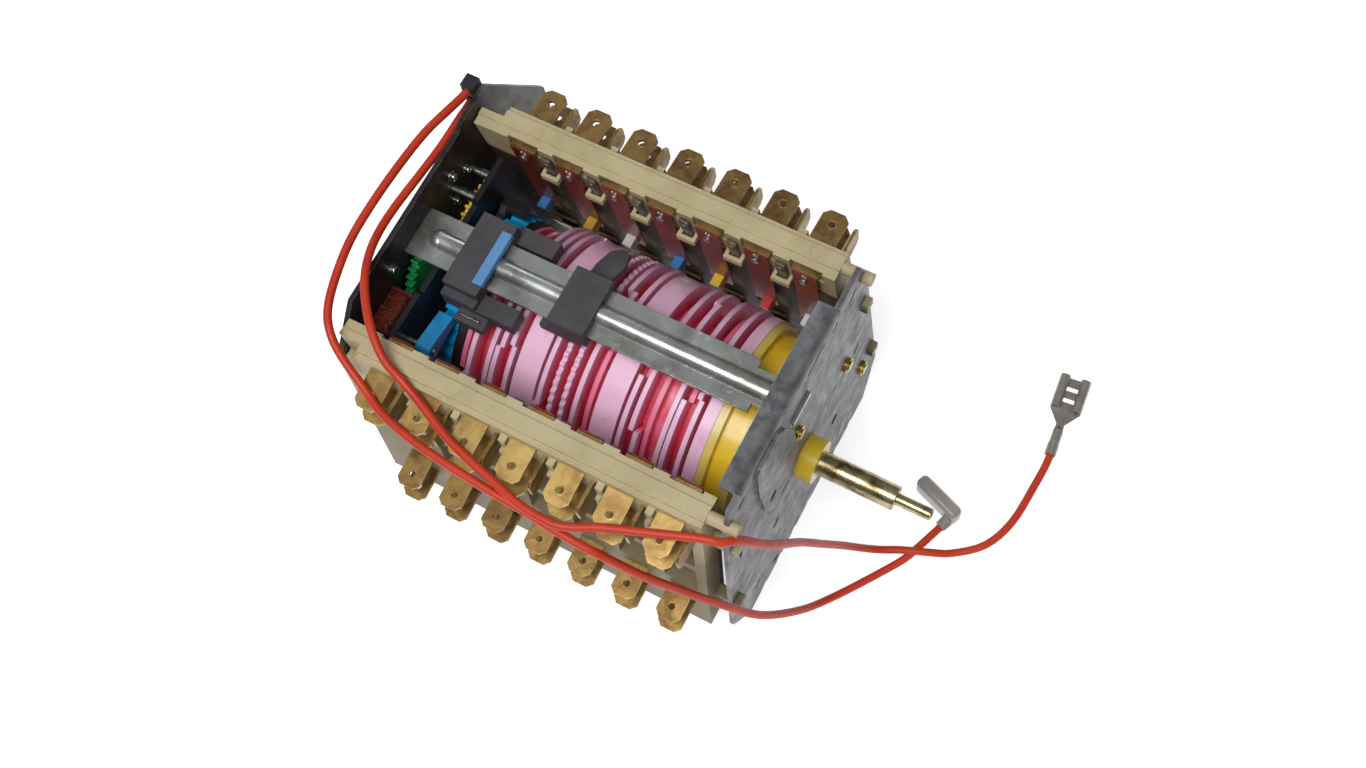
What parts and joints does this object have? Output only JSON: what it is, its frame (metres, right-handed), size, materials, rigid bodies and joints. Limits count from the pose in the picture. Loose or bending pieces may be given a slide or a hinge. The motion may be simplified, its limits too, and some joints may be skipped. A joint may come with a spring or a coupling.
{
  "type": "washing machine timer",
  "caption": "Open-frame washing machine programme timer: motor-driven cam drum on a control shaft between two plates, contact banks with blade terminals and two loose wires.",
  "frame": {"origin": "on the control shaft axis, at the outer face of the front mounting plate", "axes": "+X out of the front plate along the control shaft, +Y to the upper contact bank, +Z to the open side with the tie bar"},
  "size_m": [0.1572, 0.1097, 0.087],
  "materials": {
    "front_plate": "mottled zinc plate",
    "rear_plate": "mottled zinc plate",
    "tie_bar": "bright mottled zinc",
    "saddle": "matte charcoal",
    "saddle_insert": "light blue",
    "saddle_spring": "bright spring steel",
    "bar_clip": "matte charcoal",
    "drive_wall": "dark",
    "frame_posts": "turned steel",
    "gear_pins": "turned steel",
    "rear_bush": "dull brass",
    "motor_can": "zinc plated can",
    "motor_coil": "brown red varnish",
    "wire_box": "matte black",
    "plate_rivets": "yellow chromate",
    "upper_bank_frame": "beige moulding",
    "lower_bank_frame": "beige moulding",
    "upper_blades_1": "brass strip",
    "upper_blades_2": "brass strip",
    "upper_blades_3": "brass strip",
    "upper_blades_4": "brass strip",
    "lower_blades_1": "brass strip",
    "lower_blades_2": "brass strip",
    "lower_blades_3": "brass strip",
    "lower_blades_4": "brass strip",
    "upper_side_blades": "brass strip",
    "lower_side_blades": "brass strip",
    "upper_leaves": "dark spring bronze",
    "lower_leaves": "dark spring bronze",
    "upper_contacts": "bright rivets",
    "lower_contacts": "bright rivets",
    "yellow_followers": "yellow",
    "white_followers": "white",
    "blue_followers": "blue",
    "red_followers": "red",
    "cam_drum": "translucent pink moulding",
    "drum_disc": "black",
    "ratchet_wheel": "bright blue moulding",
    "drum_cap": "yellow moulding",
    "control_shaft": "yellow chromate on turned steel",
    "yellow_gear": "yellow moulding",
    "gear_arbor": "turned steel",
    "green_gear": "green moulding",
    "motor_pinion": "natural moulding",
    "motor_rotor": "magnet",
    "drive_pawl": "natural moulding",
    "stop_pawl": "blue moulding",
    "wire_a": "red orange insulation",
    "wire_b": "red orange insulation",
    "flag_receptacle": "translucent grey sleeve",
    "straight_receptacle": "tin plate"
  },
  "bodies": {
    "chassis": {"front_plate": "front_plate", "rear_plate": "rear_plate", "tie_bar": "tie_bar", "saddle": "saddle", "saddle_insert": "saddle_insert", "saddle_spring": "saddle_spring", "bar_clip": "bar_clip", "drive_wall": "drive_wall", "frame_posts": "frame_posts", "gear_pins": "gear_pins", "rear_bush": "rear_bush", "motor_can": "motor_can", "motor_coil": "motor_coil", "wire_box": "wire_box", "plate_rivets": "plate_rivets", "upper_bank_frame": "upper_bank_frame", "lower_bank_frame": "lower_bank_frame", "upper_blades_1": "upper_blades_1", "upper_blades_2": "upper_blades_2", "upper_blades_3": "upper_blades_3", "upper_blades_4": "upper_blades_4", "lower_blades_1": "lower_blades_1", "lower_blades_2": "lower_blades_2", "lower_blades_3": "lower_blades_3", "lower_blades_4": "lower_blades_4", "upper_side_blades": "upper_side_blades", "lower_side_blades": "lower_side_blades", "upper_leaves": "upper_leaves", "lower_leaves": "lower_leaves", "upper_contacts": "upper_contacts", "lower_contacts": "lower_contacts", "yellow_followers": "yellow_followers", "white_followers": "white_followers", "blue_followers": "blue_followers", "red_followers": "red_followers", "wire_a": "wire_a", "wire_b": "wire_b", "flag_receptacle": "flag_receptacle", "straight_receptacle": "straight_receptacle"},
    "drum": {"cam_drum": "cam_drum", "drum_disc": "drum_disc", "ratchet_wheel": "ratchet_wheel", "drum_cap": "drum_cap", "control_shaft": "control_shaft"},
    "yellow_drive": {"yellow_gear": "yellow_gear", "gear_arbor": "gear_arbor"},
    "green_drive": {"green_gear": "green_gear"},
    "motor_drive": {"motor_pinion": "motor_pinion", "motor_rotor": "motor_rotor"},
    "drive_lever": {"drive_pawl": "drive_pawl"},
    "holding_pawl": {"stop_pawl": "stop_pawl"}
  },
  "joints": [
    {"name": "drum_spin", "type": "hinge", "parent": "chassis", "child": "drum", "pos_m": [0, 0, 0], "axis": [1, 0, 0], "continuous": true},
    {"name": "motor_spin", "type": "hinge", "parent": "chassis", "child": "motor_drive", "pos_m": [-0.094, -0.00955, 0.00819], "axis": [1, 0, 0], "continuous": true},
    {"name": "green_gear_spin", "type": "hinge", "parent": "chassis", "child": "green_drive", "pos_m": [-0.094, -0.00151, 0.02002], "axis": [1, 0, 0], "continuous": true},
    {"name": "yellow_gear_spin", "type": "hinge", "parent": "chassis", "child": "yellow_drive", "pos_m": [-0.094, 0.0142, 0.0138], "axis": [1, 0, 0], "continuous": true},
    {"name": "drive_lever_swing", "type": "hinge", "parent": "chassis", "child": "drive_lever", "pos_m": [-0.088, 0.022, -0.001], "axis": [1, 0, 0], "range_deg": [-3.4, 0]},
    {"name": "holding_pawl_swing", "type": "hinge", "parent": "chassis", "child": "holding_pawl", "pos_m": [-0.084, -0.022, 0.0245], "axis": [1, 0, 0], "range_deg": [0, 6], "stiffness_Nm_per_rad": 0.002, "springref_deg": -17.19}
  ],
  "couplings": [
    {"joint": "green_gear_spin", "follows": "motor_spin", "ratio": -0.375},
    {"joint": "yellow_gear_spin", "follows": "motor_spin", "ratio": 0.1125}
  ]
}
